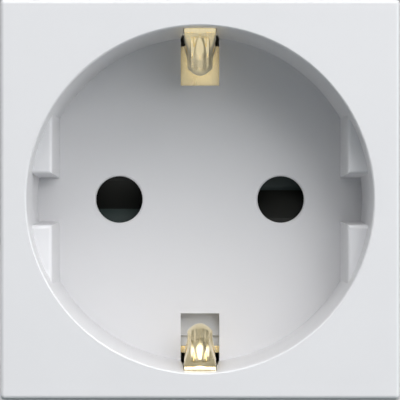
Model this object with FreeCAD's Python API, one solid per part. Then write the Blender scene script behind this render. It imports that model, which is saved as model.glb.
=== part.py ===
import FreeCAD, Part
import math
import os
from FreeCAD import Vector

# Earthed side contact socket outlet, 45 mm module size.
# Frame: +Z up, +X right as seen from the front, the face lies in the plane Y = 0 and looks along -Y.
# Lengths in millimetres.

# Face and skirt
module_side = 45.0
mouth_rim = 2.93
face_thickness = 1.8
skirt_depth = 9.0
skirt_wall = 1.2
edge_radius = 0.5

# Recess
recess_taper = 0.53
recess_depth = 17.5
mouth_chamfer = 0.15
cup_wall = 1.2
floor_thickness = 2.0

# Side ridges of the recess
ridge_start = 5.4
ridge_height_front = 2.7
ridge_height_floor = 2.56
ridge_round = 0.45
groove_width_front = 5.9
groove_width_floor = 5.13

# Pins of the plug
pin_spacing = 19.0
pin_diameter = 4.8
pin_length = 19.0
pin_hole_diameter = 5.5
pin_hole_chamfer = 0.15

# Earth windows and wall slots
window_height = 5.66
window_width = 4.54
slot_width = 3.8
slot_start = 2.9
slot_widens_at = 8.0

# Clearances
fit_gap = 0.15
seat_gap = 0.05
turn_gap = 0.08
thread_gap = 0.03
pin_clearance = 0.05

# Earth strap: the drops are measured inwards from the middle of its legs
strap_thickness = 0.5
strap_width = 6.4
leg_gap = 0.61
leg_width = 3.64
hairpin_depth = 3.2
hairpin_radius = 0.35
tongue_start = 0.5
press_start = 0.1
press_end = 0.63
nose_depth = 9.9
nose_drop = 4.35
nose_width = 3.0
nose_radius = 2.6
nose_rise = 0.86
bead_rise = 0.42
bead_width = 1.5
tongue_taper_start = 1.9
tongue_taper_end = 3.5
tail_depth = 15.8
tail_drop = 2.2
foot_bend_radius = 1.8
foot_set_back = 0.7
jog_drop = 7.7
jog_radius = 0.8
run_set_back = 5.8
tab_width = 5.0
tab_length = 10.4

# Contact carrier
carrier_thickness = 7.5
lip_drop = 2.6
lip_step_width = 1.2
lip_step = 0.3
carrier_screw_set_in = 4.0
carrier_boss_radius = 2.2
carrier_boss_length = 4.9
carrier_screw_radius = 1.0
carrier_screw_length = 5.0
carrier_head_radius = 2.0
carrier_head_height = 1.3
carrier_web = 1.0

# Shutter
shutter_set_back = 0.3
shutter_thickness = 2.8
shutter_hub_radius = 3.2
shutter_overhang = 0.35
shutter_half_width = 3.0
shutter_ledge_edge = 1.1
shutter_ledge_thickness = 0.6
shutter_crest_width = 0.8
shutter_travel = 38.0
shutter_side_gap = 0.12
shutter_back_gap = 0.2
pivot_radius = 1.6
pivot_length = 4.7

# Shutter spring
spring_radius = 2.3
spring_wire = 0.36
spring_pitch = 0.42
spring_turns = 2.5
spring_leg_length = 4.6
spring_stud_radius = 0.45
spring_stud_reach = 4.0
spring_room = 0.6
spring_play = 0.1

# Pin contacts
tulip_wall = 0.7
tulip_slot = 0.9
tulip_base = 2.5
tulip_flare = 0.35
contact_start_gap = 0.3
pin_end_gap = 0.5
contact_plate = 0.8
contact_plate_width = 5.2
contact_rim = 0.4
band_thickness = 0.4
band_width = 3.0
band_start = 2.2
band_opening = 70.0

# Terminals
terminal_width = 5.6
terminal_side_gap = 1.3
terminal_length = 8.0
terminal_height = 7.0
terminal_set_in = 3.2
terminal_chamfer = 0.3
wire_chamber = 3.8
wire_chamber_drop = 1.2
saddle_gap = 0.1
saddle_end_gap = 0.6
saddle_thickness = 0.8
saddle_groove_radius = 1.6
saddle_groove_depth = 0.4
terminal_screw_radius = 1.5
terminal_head_radius = 2.2
terminal_head_height = 1.6
terminal_head_depth = 0.4
screw_slot = 0.6
slot_depth = 0.8

# Rear housing and its cover
housing_inset = 1.7
housing_wall = 1.4
contact_back_gap = 1.2
rear_cover_thickness = 2.0
column_width = 7.2
column_set_in = 3.6
boss_radius = 3.0
boss_end = 8.0
boss_rib = 1.0
well_radius = 2.9
well_floor = 14.0
housing_screw_radius = 1.25
housing_screw_tip = 3.4
pilot_depth = 0.4
housing_head_radius = 2.4
housing_head_height = 2.0
peg_radius = 1.5
peg_length = 3.0
core_web = 1.2
core_wall = 1.2
tulip_play = 0.6
corner_round = 1.0
latch_set_in = 3.0
latch_lead = 0.4
latch_width = 4.8
latch_thickness = 1.2
latch_tip = 10.3
frame_thickness = 2.2
latch_barb = 1.2
latch_barb_length = 4.3
snap_width = 4.8
snap_thickness = 1.2
snap_reach = 4.4
snap_barb = 0.9
snap_lead = 0.6
wire_entry_radius = 1.85
wire_funnel_radius = 3.0
wire_funnel_depth = 1.0
collar_half = 2.9

# Places that follow from the sizes above
half = module_side / 2
mouth_radius = half - mouth_rim
floor_radius = mouth_radius - recess_taper
ridge_reach_front = mouth_radius - ridge_height_front
ridge_reach_floor = floor_radius - ridge_height_floor
window_inner = floor_radius - window_height
skirt_inner = half - skirt_wall
floor_back = recess_depth + floor_thickness
pin_x = pin_spacing / 2
housing_half = half - housing_inset
cavity_half = housing_half - housing_wall
carrier_half = cavity_half - fit_gap
carrier_back = floor_back + carrier_thickness
column_inner = housing_half - column_width
column_offset = housing_half - column_set_in
latch_offset = column_inner - latch_set_in
carrier_screw_offset = column_inner - carrier_screw_set_in
shutter_reach = pin_x + pin_hole_diameter / 2 + shutter_overhang
leg_z = floor_radius + leg_gap + strap_thickness / 2
nose_z = leg_z - nose_drop
tail_z = leg_z - tail_drop
jog_z = leg_z - jog_drop
lip_end = leg_z - lip_drop
lip_step_start = lip_end - lip_step_width
foot_y = floor_back + foot_set_back + strap_thickness / 2
run_y = floor_back + run_set_back + strap_thickness / 2
channel_half = strap_width / 2 + fit_gap + seat_gap
shutter_front = floor_back + shutter_set_back
shutter_back = shutter_front + shutter_thickness
pocket_floor = shutter_back + shutter_back_gap
tulip_inner = pin_diameter / 2 + pin_clearance
tulip_outer = tulip_inner + tulip_wall
contact_front = carrier_back + contact_start_gap
plate_front = recess_depth + pin_length + pin_end_gap
plate_back = plate_front + contact_plate
cover_front = plate_back + contact_back_gap
housing_back = cover_front + rear_cover_thickness
terminal_front = plate_front - terminal_length
terminal_mid = plate_front - terminal_length / 2
terminal_bottom = -(housing_half - terminal_set_in)
terminal_top = housing_half - terminal_set_in - terminal_height
terminal_x = column_inner - terminal_side_gap - terminal_width / 2
chamber_top = -(terminal_top + wire_chamber_drop)
chamber_bottom = chamber_top - wire_chamber
wire_z = chamber_top - wire_chamber / 2
saddle_bottom = chamber_bottom + saddle_gap
tulip_room = tulip_outer + band_thickness + tulip_play
terminal_spots = (-terminal_x, 0.0, terminal_x)
screw_corners = ((1, 1), (-1, -1))
peg_corners = ((-1, 1), (1, -1))


def box(x0, x1, y0, y1, z0, z1):
    return Part.makeBox(x1 - x0, y1 - y0, z1 - z0, Vector(x0, y0, z0))


def rod(radius, x, z, y0, y1):
    return Part.makeCylinder(radius, y1 - y0, Vector(x, y0, z), Vector(0, 1, 0))


def cone(radius0, radius1, x, z, y0, y1):
    return Part.makeCone(radius0, radius1, y1 - y0, Vector(x, y0, z), Vector(0, 1, 0))


def plan_prism(points, y0, y1):
    # a polygon given as (x, z), drawn out along Y
    corners = [Vector(x, y0, z) for x, z in points]
    return Part.Face(Part.makePolygon(corners + corners[:1])).extrude(Vector(0, y1 - y0, 0))


def side_prism(points, x0, x1):
    # a polygon given as (y, z), drawn out along X
    corners = [Vector(x0, y, z) for y, z in points]
    return Part.Face(Part.makePolygon(corners + corners[:1])).extrude(Vector(x1 - x0, 0, 0))


def top_prism(points, z0, z1):
    # a polygon given as (x, y), drawn out along Z
    corners = [Vector(x, y, z0) for x, y in points]
    return Part.Face(Part.makePolygon(corners + corners[:1])).extrude(Vector(0, 0, z1 - z0))


def mirror_x(shape):
    return shape.mirror(Vector(0, 0, 0), Vector(1, 0, 0))


def mirror_z(shape):
    return shape.mirror(Vector(0, 0, 0), Vector(0, 0, 1))


def turn(shape, degrees):
    turned = shape.copy()
    turned.rotate(Vector(0, 0, 0), Vector(0, 1, 0), degrees)
    return turned


def save(name, shape):
    shape.exportStep("parts/" + name + ".step")


def cup_radius(depth):
    # the recess narrows evenly from its mouth to its floor
    return mouth_radius - (mouth_radius - floor_radius) * depth / recess_depth


# Front moulding

def ridge():
    # the upper right ridge: a flat that leans a little inwards towards the floor, beside the centre groove
    flat = top_prism(
        [
            (ridge_reach_front, ridge_start),
            (mouth_radius + cup_wall, ridge_start),
            (mouth_radius + cup_wall, recess_depth + 1),
            (ridge_reach_floor, recess_depth + 1),
            (ridge_reach_floor, recess_depth),
        ],
        0,
        floor_radius,
    )
    groove = side_prism(
        [
            (ridge_start - 1, -1),
            (ridge_start - 1, groove_width_front / 2),
            (ridge_start, groove_width_front / 2),
            (recess_depth, groove_width_floor / 2),
            (recess_depth + 2, groove_width_floor / 2),
            (recess_depth + 2, -1),
        ],
        0,
        half,
    )
    body = flat.cut(groove)
    lip = [
        e
        for e in body.Edges
        if e.BoundBox.YLength < 0.01
        and abs(e.BoundBox.YMin - ridge_start) < 0.01
        and (e.BoundBox.XMax < ridge_reach_front + 0.01 or e.BoundBox.ZMax < groove_width_front)
    ]
    return body.makeFillet(ridge_round, lip)


def recess():
    # what the plug's nose fills: the tapered cup less its four side ridges
    cup = cone(mouth_radius, floor_radius, 0, 0, 0, recess_depth)
    mouth = cone(mouth_radius + 2 * mouth_chamfer, mouth_radius, 0, 0, -mouth_chamfer, mouth_chamfer)
    upper = ridge()
    lower = mirror_z(upper)
    ridges = [upper, lower, mirror_x(upper), mirror_x(lower)]
    return cup.cut(ridges).fuse(mouth)


def earth_window():
    # one slot in the cup's wall for the clip, widening to a window in the floor
    slot_half = slot_width / 2
    window_half = window_width / 2
    back = floor_back + 1
    return top_prism(
        [
            (-slot_half, slot_start),
            (slot_half, slot_start),
            (slot_half, slot_widens_at),
            (window_half, recess_depth),
            (window_half, back),
            (-window_half, back),
            (-window_half, recess_depth),
            (-slot_half, slot_widens_at),
        ],
        window_inner,
        mouth_radius + 2 * cup_wall,
    )


def corner_boss(side_x, side_z):
    # a boss behind the face at one corner, tied to the skirt by two ribs
    x = side_x * column_offset
    z = side_z * column_offset
    rib = boss_rib / 2
    boss = rod(boss_radius, x, z, face_thickness / 2, boss_end)
    across = box(min(x, side_x * skirt_inner), max(x, side_x * skirt_inner), face_thickness / 2, boss_end,
                 z - rib, z + rib)
    along = box(x - rib, x + rib, face_thickness / 2, boss_end,
                min(z, side_z * skirt_inner), max(z, side_z * skirt_inner))
    return boss.fuse([across, along])


def front_cover():
    slab = box(-half, half, 0, skirt_depth, -half, half)
    outer_edges = [
        e
        for e in slab.Edges
        if e.BoundBox.YMax < 0.01 or e.BoundBox.YLength > skirt_depth - 0.01
    ]
    slab = slab.makeFillet(edge_radius, outer_edges)
    hollow = box(-skirt_inner, skirt_inner, face_thickness, skirt_depth + 1, -skirt_inner, skirt_inner)
    cup_end = cup_radius(floor_back) + cup_wall
    cup = cone(cup_radius(face_thickness) + cup_wall, cup_end, 0, 0, face_thickness, floor_back)
    pivot = rod(pivot_radius, 0, 0, floor_back - 1, floor_back + pivot_length)
    additions = [cup, pivot]
    holes = []
    for side_x, side_z in screw_corners + peg_corners:
        additions.append(corner_boss(side_x, side_z))
    for side_x, side_z in peg_corners:
        x = side_x * column_offset
        z = side_z * column_offset
        additions.append(rod(peg_radius, x, z, boss_end - 1, boss_end + peg_length))
    for side_x, side_z in screw_corners:
        holes.append(rod(housing_screw_radius + thread_gap, side_x * column_offset, side_z * column_offset,
                         housing_screw_tip - pilot_depth, boss_end + 1))
        x = side_x * carrier_screw_offset
        z = side_z * carrier_screw_offset
        boss_back = floor_back + carrier_boss_length
        additions.append(rod(carrier_boss_radius, x, z, floor_back - 1, boss_back))
        holes.append(rod(carrier_screw_radius + thread_gap, x, z, floor_back, boss_back + 1))
    hole_radius = pin_hole_diameter / 2
    for x in (-pin_x, pin_x):
        holes.append(rod(hole_radius, x, 0, recess_depth - 1, floor_back + 1))
        holes.append(cone(hole_radius + 2 * pin_hole_chamfer, hole_radius, x, 0,
                          recess_depth - pin_hole_chamfer, recess_depth + pin_hole_chamfer))
    window = earth_window()
    holes += [recess(), window, mirror_z(window)]
    return slab.cut(hollow).fuse(additions).cut(holes).removeSplitter()


# Shutter

def wing_section():
    # the ramp that a pin pushes on, as (y, z) of the left wing
    back = shutter_back
    ledge = back - shutter_ledge_thickness
    return [
        (back, -shutter_half_width),
        (ledge, -shutter_half_width),
        (ledge, -shutter_ledge_edge),
        (shutter_front, shutter_half_width - shutter_crest_width),
        (shutter_front, shutter_half_width),
        (back, shutter_half_width),
    ]


def spring_stud_z():
    return spring_radius - spring_wire / 2 - spring_stud_radius - thread_gap


def shutter_rotor():
    left = side_prism(wing_section(), -shutter_reach - 1, 0)
    left = left.common(rod(shutter_reach, 0, 0, shutter_front - 1, shutter_back + 1))
    right = turn(left, 180)
    hub = rod(shutter_hub_radius, 0, 0, shutter_front, shutter_back)
    stud = rod(spring_stud_radius, -spring_stud_reach, spring_stud_z(), shutter_back - 0.5,
               shutter_back + spring_room)
    bore = rod(pivot_radius + turn_gap, 0, 0, shutter_front - 1, shutter_back + 1)
    return hub.fuse([left, right, stud]).cut(bore).removeSplitter()


def shutter_room():
    # the pocket that the wings sweep, with a stop at each end of their travel
    reach = shutter_reach + 2 * shutter_side_gap
    width = shutter_half_width + shutter_side_gap
    y0 = floor_back - 1
    bar = box(-reach, reach, y0, pocket_floor, -width, width)
    bar = bar.common(rod(reach, 0, 0, y0, pocket_floor))
    swept = [bar, turn(bar, shutter_travel + 1)]
    fan = [(0, 0)]
    steps = 6
    for i in range(steps + 1):
        angle = math.radians(180 - (shutter_travel + 1) * i / steps)
        spread = reach / math.cos(math.radians((shutter_travel + 1) / steps / 2))
        fan.append((spread * math.cos(angle), spread * math.sin(angle)))
    sector = plan_prism(fan, y0, pocket_floor).common(rod(reach, 0, 0, y0, pocket_floor))
    swept += [sector, turn(sector, 180)]
    swept.append(rod(shutter_hub_radius + 0.6, 0, 0, y0, pocket_floor))
    return swept[0].fuse(swept[1:])


def spring_front():
    return shutter_back + shutter_side_gap + shutter_back_gap + spring_wire / 2


def spring_back():
    return spring_front() + spring_pitch * spring_turns


def shutter_spring():
    # a torsion spring round the pivot: one leg rests on the stud, the other in a slot of the carrier
    rise = spring_pitch * spring_turns
    corners = []
    for i in range(4):
        angle = math.radians(90 * i + 45)
        corners.append(Vector(spring_radius + spring_wire / 2 * math.cos(angle), 0,
                              spring_wire / 2 * math.sin(angle)))
    section = Part.makePolygon(corners + corners[:1])
    helix = Part.makeHelix(spring_pitch, rise, spring_radius)
    coil = Part.Wire(helix.Edges).makePipeShell([section], True, True)
    coil = Part.Solid(coil) if coil.ShapeType == "Shell" else coil
    far_corners = [Vector(-c.x, c.y, c.z + rise) for c in corners]
    far_section = Part.makePolygon(far_corners + far_corners[:1])
    legs = [Part.Face(w).extrude(Vector(0, -spring_leg_length, 0)) for w in (section, far_section)]
    spring = coil.fuse(legs)
    spring.rotate(Vector(0, 0, 0), Vector(1, 0, 0), -90)
    spring.translate(Vector(0, spring_front(), 0))
    return turn(spring, -90)


# Contact carrier

def carrier_outline(y0, y1):
    # the square that fits the housing's cavity, notched round its four corner columns
    across = column_inner - fit_gap
    tall = box(-across, across, y0, y1, -carrier_half, carrier_half)
    wide = box(-carrier_half, carrier_half, y0, y1, -across, across)
    return tall.fuse(wide).removeSplitter()


def contact_carrier():
    body = carrier_outline(floor_back, carrier_back)
    strap_front = foot_y - strap_thickness / 2
    back = carrier_back + 1
    edge = housing_half
    slot_in = jog_z - strap_thickness / 2 - 2 * fit_gap
    spring_half = spring_wire / 2 + spring_play
    well_floor_y = spring_back() + spring_half
    cuts = [
        shutter_room(),
        rod(spring_leg_length + spring_room, 0, 0, pocket_floor - spring_play, pocket_floor + spring_room),
        rod(spring_radius + spring_half + fit_gap, 0, 0, pocket_floor, well_floor_y),
        box(-spring_leg_length - fit_gap, 0, pocket_floor, well_floor_y,
            -spring_radius - spring_half, -spring_radius + spring_half),
        rod(pivot_radius + fit_gap, 0, 0, pocket_floor, floor_back + pivot_length + fit_gap),
        box(-channel_half, channel_half, floor_back - 1, back, slot_in, edge),
        box(-channel_half, channel_half, strap_front - seat_gap, back, -edge, -slot_in),
        box(-channel_half, channel_half, floor_back - 1, back, -edge, -lip_end),
        box(-channel_half, channel_half, floor_back - 1, floor_back + lip_step, -edge, -lip_step_start),
        box(-channel_half, channel_half, run_y - strap_thickness / 2 - fit_gap, back, -slot_in - 1, slot_in + 1),
    ]
    passage = pin_hole_diameter / 2 + fit_gap
    for x in (-pin_x, pin_x):
        cuts.append(rod(passage, x, 0, pocket_floor - 1, back))
    for side_x, side_z in screw_corners:
        x = side_x * carrier_screw_offset
        z = side_z * carrier_screw_offset
        seat = floor_back + carrier_boss_length + 2 * seat_gap
        cuts.append(rod(carrier_boss_radius + 2 * seat_gap, x, z, floor_back - 1, seat))
        cuts.append(rod(carrier_screw_radius + fit_gap, x, z, seat - 1, back))
        cuts.append(rod(carrier_head_radius + 2 * fit_gap, x, z, seat + carrier_web, back))
    return body.cut(cuts).removeSplitter()


# Earth strap

def unit(vector):
    return Vector(vector).normalize()


def bent_path(points, radii):
    # stations (point, direction) along a polyline whose inner corners are rounded, and the kind of each stretch
    corners = [Vector(0, y, z) for y, z in points]
    stations = [(corners[0], unit(corners[1] - corners[0]))]
    kinds = []
    for i, radius in enumerate(radii, start=1):
        before = unit(corners[i] - corners[i - 1])
        after = unit(corners[i + 1] - corners[i])
        tangent = radius * math.tan(before.getAngle(after) / 2)
        start = corners[i] - before * tangent
        end = corners[i] + after * tangent
        middle = unit(before + after)
        inward = unit(after - before)
        reach = radius / math.cos(before.getAngle(after) / 2)
        centre = corners[i] + inward * reach
        stations += [(start, before), (centre - inward * radius, middle), (end, after)]
        kinds += ["line", "arc"]
    stations.append((corners[-1], unit(corners[-1] - corners[-2])))
    kinds.append("line")
    return stations, kinds


def side_of(station, offset):
    point, direction = station
    return point + Vector(0, direction.z, -direction.y) * offset


def ribbon(points, radii, thickness, width):
    # a strip of sheet bent along the path, drawn out along X
    stations, kinds = bent_path(points, radii)
    rails = []
    for offset in (thickness / 2, -thickness / 2):
        edges = []
        i = 0
        for kind in kinds:
            span = 1 if kind == "line" else 2
            places = [side_of(s, offset) for s in stations[i:i + span + 1]]
            if kind == "line":
                edges.append(Part.LineSegment(*places).toShape())
            else:
                edges.append(Part.Arc(*places).toShape())
            i += span
        rails.append(edges)
    ends = [
        Part.LineSegment(side_of(s, thickness / 2), side_of(s, -thickness / 2)).toShape()
        for s in (stations[0], stations[-1])
    ]
    outline = Part.Wire(Part.__sortEdges__(rails[0] + rails[1] + ends))
    strip = Part.Face(outline).extrude(Vector(width, 0, 0))
    strip.translate(Vector(-width / 2, 0, 0))
    return strip


def tongue_half_width(z):
    # full width near the hairpin, narrower at the nose
    share = (leg_z - z - tongue_taper_start) / (tongue_taper_end - tongue_taper_start)
    share = min(max(share, 0), 1)
    return (leg_width + (nose_width - leg_width) * share) / 2


def tongue_section(station, press):
    # the strip's cross section: a round bead along the middle, between two raised strips with sloping flanks
    point, direction = station
    outward = Vector(0, direction.z, -direction.y)
    wide = tongue_half_width(point.z)
    bead = bead_width / 2
    shoulder = (bead + nose_width / 2) / 2
    profile = [(-wide, 0), (-shoulder, nose_rise), (-bead, nose_rise), (0, nose_rise + bead_rise),
               (bead, nose_rise), (shoulder, nose_rise), (wide, 0)]
    rails = []
    for side in (strap_thickness / 2, -strap_thickness / 2):
        places = [point + Vector(u, 0, 0) + outward * (side + rise * press) for u, rise in profile]
        left = Part.LineSegment(places[0], places[1]).toShape()
        left_flat = Part.LineSegment(places[1], places[2]).toShape()
        middle = Part.BSplineCurve()
        middle.interpolate(places[2:5])
        right_flat = Part.LineSegment(places[4], places[5]).toShape()
        right = Part.LineSegment(places[5], places[6]).toShape()
        rails.append(([left, left_flat, middle.toShape(), right_flat, right], places[0], places[-1]))
    first, second = rails
    return Part.Wire(
        [
            *first[0],
            Part.LineSegment(first[2], second[2]).toShape(),
            *reversed(second[0]),
            Part.LineSegment(second[1], first[1]).toShape(),
        ]
    )


def hairpin_points():
    # the two square corners round which the strip folds forwards and back into the recess
    front = hairpin_depth + strap_thickness / 2
    return (front, leg_z - 2 * hairpin_radius), (front, leg_z)


def tongue_root():
    # where the plain bent strip ends and the pressed tongue starts
    root, _ = hairpin_points()
    along = unit(Vector(0, nose_depth - root[0], nose_z - root[1]))
    place = Vector(0, *root) + along * tongue_start
    return (place.y, place.z)


def tongue():
    points = [tongue_root(), (nose_depth, nose_z), (tail_depth, tail_z)]
    stations, _ = bent_path(points, [nose_radius])
    start, arc_start, _, arc_end, tail = stations
    sections = [tongue_section(start, 0)]
    for press in (0, 0.55, 1):
        share = press_start + (press_end - press_start) * press
        place = start[0] + (arc_start[0] - start[0]) * share
        sections.append(tongue_section((place, start[1]), press))
    turn_angle = arc_start[1].getAngle(arc_end[1])
    centre = side_of(arc_start, -nose_radius)
    steps = 3
    for i in range(steps + 1):
        angle = turn_angle * i / steps
        along = arc_start[1] * math.cos(angle) + side_of((Vector(), arc_start[1]), -1) * math.sin(angle)
        place = side_of((centre, along), nose_radius)
        sections.append(tongue_section((place, along), 1))
    sections.append(tongue_section(tail, 0))
    loft = Part.makeLoft(sections, True, True)
    return loft if loft.Volume > 0 else loft.reversed()


def earth_strap():
    upper = [
        tongue_root(),
        *hairpin_points(),
        (foot_y, leg_z),
        (foot_y, jog_z),
        (run_y, jog_z),
    ]
    lower = [(y, -z) for y, z in reversed(upper)]
    fold = hairpin_radius * 0.98
    radii = [fold, fold, foot_bend_radius, jog_radius, jog_radius]
    strip = ribbon(upper + lower, radii + radii[::-1], strap_thickness, strap_width)
    shoulder = floor_back + fit_gap + seat_gap
    narrow = box(-leg_width / 2, leg_width / 2, 0, shoulder, -half, half)
    wide = box(-strap_width / 2, strap_width / 2, shoulder, carrier_back + 1, -half, half)
    strip = strip.common(narrow.fuse(wide))
    clip = tongue()
    run_front = run_y - strap_thickness / 2
    tab = box(-tab_width / 2, tab_width / 2, run_front, run_front + tab_length,
              -terminal_top, -terminal_top + strap_thickness)
    return strip.fuse([clip, mirror_z(clip), tab])


# Pin contacts and their spring bands

def pin_contact(side):
    # a slotted tulip on a flat strip that reaches down over the terminal
    x = side * pin_x
    terminal_at = side * terminal_x
    tulip = rod(tulip_outer, x, 0, contact_front, plate_front)
    reach = tulip_outer + 1
    slot = tulip_slot / 2
    slots = [
        box(x - reach, x + reach, contact_front - 1, plate_front - tulip_base, -slot, slot),
        box(x - slot, x + slot, contact_front - 1, plate_front - tulip_base, -reach, reach),
    ]
    bore = rod(tulip_inner, x, 0, contact_front - 1, plate_front)
    flare = cone(tulip_inner + 2 * tulip_flare, tulip_inner, x, 0, contact_front - tulip_flare,
                 contact_front + tulip_flare)
    head = rod(tulip_outer + contact_rim, x, 0, plate_front, plate_back)
    wide = contact_plate_width / 2
    strip = box(terminal_at - wide, terminal_at + wide, plate_front, plate_back, terminal_bottom, 0)
    window = box(terminal_at - wire_chamber / 2, terminal_at + wire_chamber / 2, plate_front - 1, plate_back + 1,
                 chamber_bottom, chamber_top)
    return tulip.cut(slots + [bore, flare]).fuse([head, strip]).cut(window).removeSplitter()


def contact_band(x, opening_angle):
    # a hardened steel ring, open on one side, that grips the tulip's petals
    inner = tulip_outer + thread_gap
    outer = inner + band_thickness
    y0 = contact_front + band_start
    ring = rod(outer, x, 0, y0, y0 + band_width).cut(rod(inner, x, 0, y0 - 1, y0 + band_width + 1))
    spread = math.radians(band_opening / 2)
    wedge = [(0, 0)]
    for angle in (-spread, spread):
        place = math.radians(opening_angle) + angle
        wedge.append((2 * outer * math.cos(place), 2 * outer * math.sin(place)))
    gap = plan_prism([(x + px, pz) for px, pz in wedge], y0 - 1, y0 + band_width + 1)
    return ring.cut(gap)


# Terminals

def terminal(x):
    wide = terminal_width / 2
    block = box(x - wide, x + wide, terminal_front, plate_front, terminal_bottom, -terminal_top)
    long_edges = [e for e in block.Edges if e.BoundBox.YLength > terminal_length - 0.01]
    block = block.makeChamfer(terminal_chamfer, long_edges)
    chamber = box(x - wire_chamber / 2, x + wire_chamber / 2, terminal_front - 1, plate_front + 1,
                  chamber_bottom, chamber_top)
    thread = Part.makeCylinder(terminal_screw_radius, chamber_bottom - terminal_bottom + 1,
                               Vector(x, terminal_mid, terminal_bottom - 0.5))
    return block.cut([chamber, thread])


def saddle(x):
    # the loose pressure plate between the screw's tip and the wire
    wide = wire_chamber / 2 - fit_gap
    plate = box(x - wide, x + wide, terminal_front + saddle_end_gap, plate_front - saddle_end_gap,
                saddle_bottom, saddle_bottom + saddle_thickness)
    groove_z = saddle_bottom + saddle_thickness + saddle_groove_radius - saddle_groove_depth
    groove = rod(saddle_groove_radius, x, groove_z, terminal_front, plate_front)
    return plate.cut(groove)


def terminal_screw(x):
    head_bottom = -housing_half + terminal_head_depth
    head_top = head_bottom + terminal_head_height
    head = Part.makeCylinder(terminal_head_radius, terminal_head_height, Vector(x, terminal_mid, head_bottom))
    shaft = Part.makeCylinder(terminal_screw_radius - thread_gap, saddle_bottom - head_top + 0.5,
                              Vector(x, terminal_mid, head_top - 0.5))
    slot = box(x - terminal_head_radius, x + terminal_head_radius, terminal_mid - screw_slot / 2,
               terminal_mid + screw_slot / 2, head_bottom - 1, head_bottom + slot_depth)
    return head.fuse(shaft).cut(slot)


# Screws along Y, driven from behind

def rear_driven_screw(x, z, seat, tip, radius, head_radius, head_height):
    head = rod(head_radius, x, z, seat, seat + head_height)
    shaft = rod(radius, x, z, tip, seat + 0.5)
    arm = head_radius * 0.6
    slot = screw_slot / 2
    top = seat + head_height
    cross = [
        box(x - arm, x + arm, top - head_height * 0.5, top + 1, z - slot, z + slot),
        box(x - slot, x + slot, top - head_height * 0.5, top + 1, z - arm, z + arm),
    ]
    return head.fuse(shaft).cut(cross)


def housing_screws():
    return Part.makeCompound(
        [
            rear_driven_screw(sx * column_offset, sz * column_offset, well_floor, housing_screw_tip,
                              housing_screw_radius, housing_head_radius, housing_head_height)
            for sx, sz in screw_corners
        ]
    )


def carrier_screws():
    seat = floor_back + carrier_boss_length + 2 * seat_gap + carrier_web
    return Part.makeCompound(
        [
            rear_driven_screw(sx * carrier_screw_offset, sz * carrier_screw_offset, seat,
                              seat - carrier_screw_length, carrier_screw_radius, carrier_head_radius,
                              carrier_head_height)
            for sx, sz in screw_corners
        ]
    )


# Rear housing

def corner_column(side_x, side_z):
    # a column beside the cup in front, and round a screw well behind
    near = side_x * column_inner
    far = side_x * housing_half
    low = side_z * column_inner
    high = side_z * housing_half
    post = box(min(near, far), max(near, far), boss_end, housing_back, min(low, high), max(low, high))
    cup_room = rod(cup_radius(boss_end) + cup_wall + fit_gap, 0, 0, boss_end - 1, floor_back)
    return post.cut(cup_room)


def frame_latch(side_x, side_z):
    # a springy finger with a barb that catches behind the support frame
    z = side_z * latch_offset
    outer = housing_half
    shoulder = skirt_depth + frame_thickness
    inner = outer - latch_thickness
    outline = [
        (inner, floor_back + 0.5),
        (inner, latch_tip),
        (outer - latch_lead, latch_tip),
        (outer, latch_tip + latch_lead),
        (outer, shoulder),
        (outer + latch_barb, shoulder),
        (outer + latch_barb, shoulder + 0.5),
        (outer, shoulder + latch_barb_length),
        (outer, floor_back + 0.5),
    ]
    finger = top_prism(outline, z - latch_width / 2, z + latch_width / 2)
    return finger if side_x > 0 else mirror_x(finger)


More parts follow.
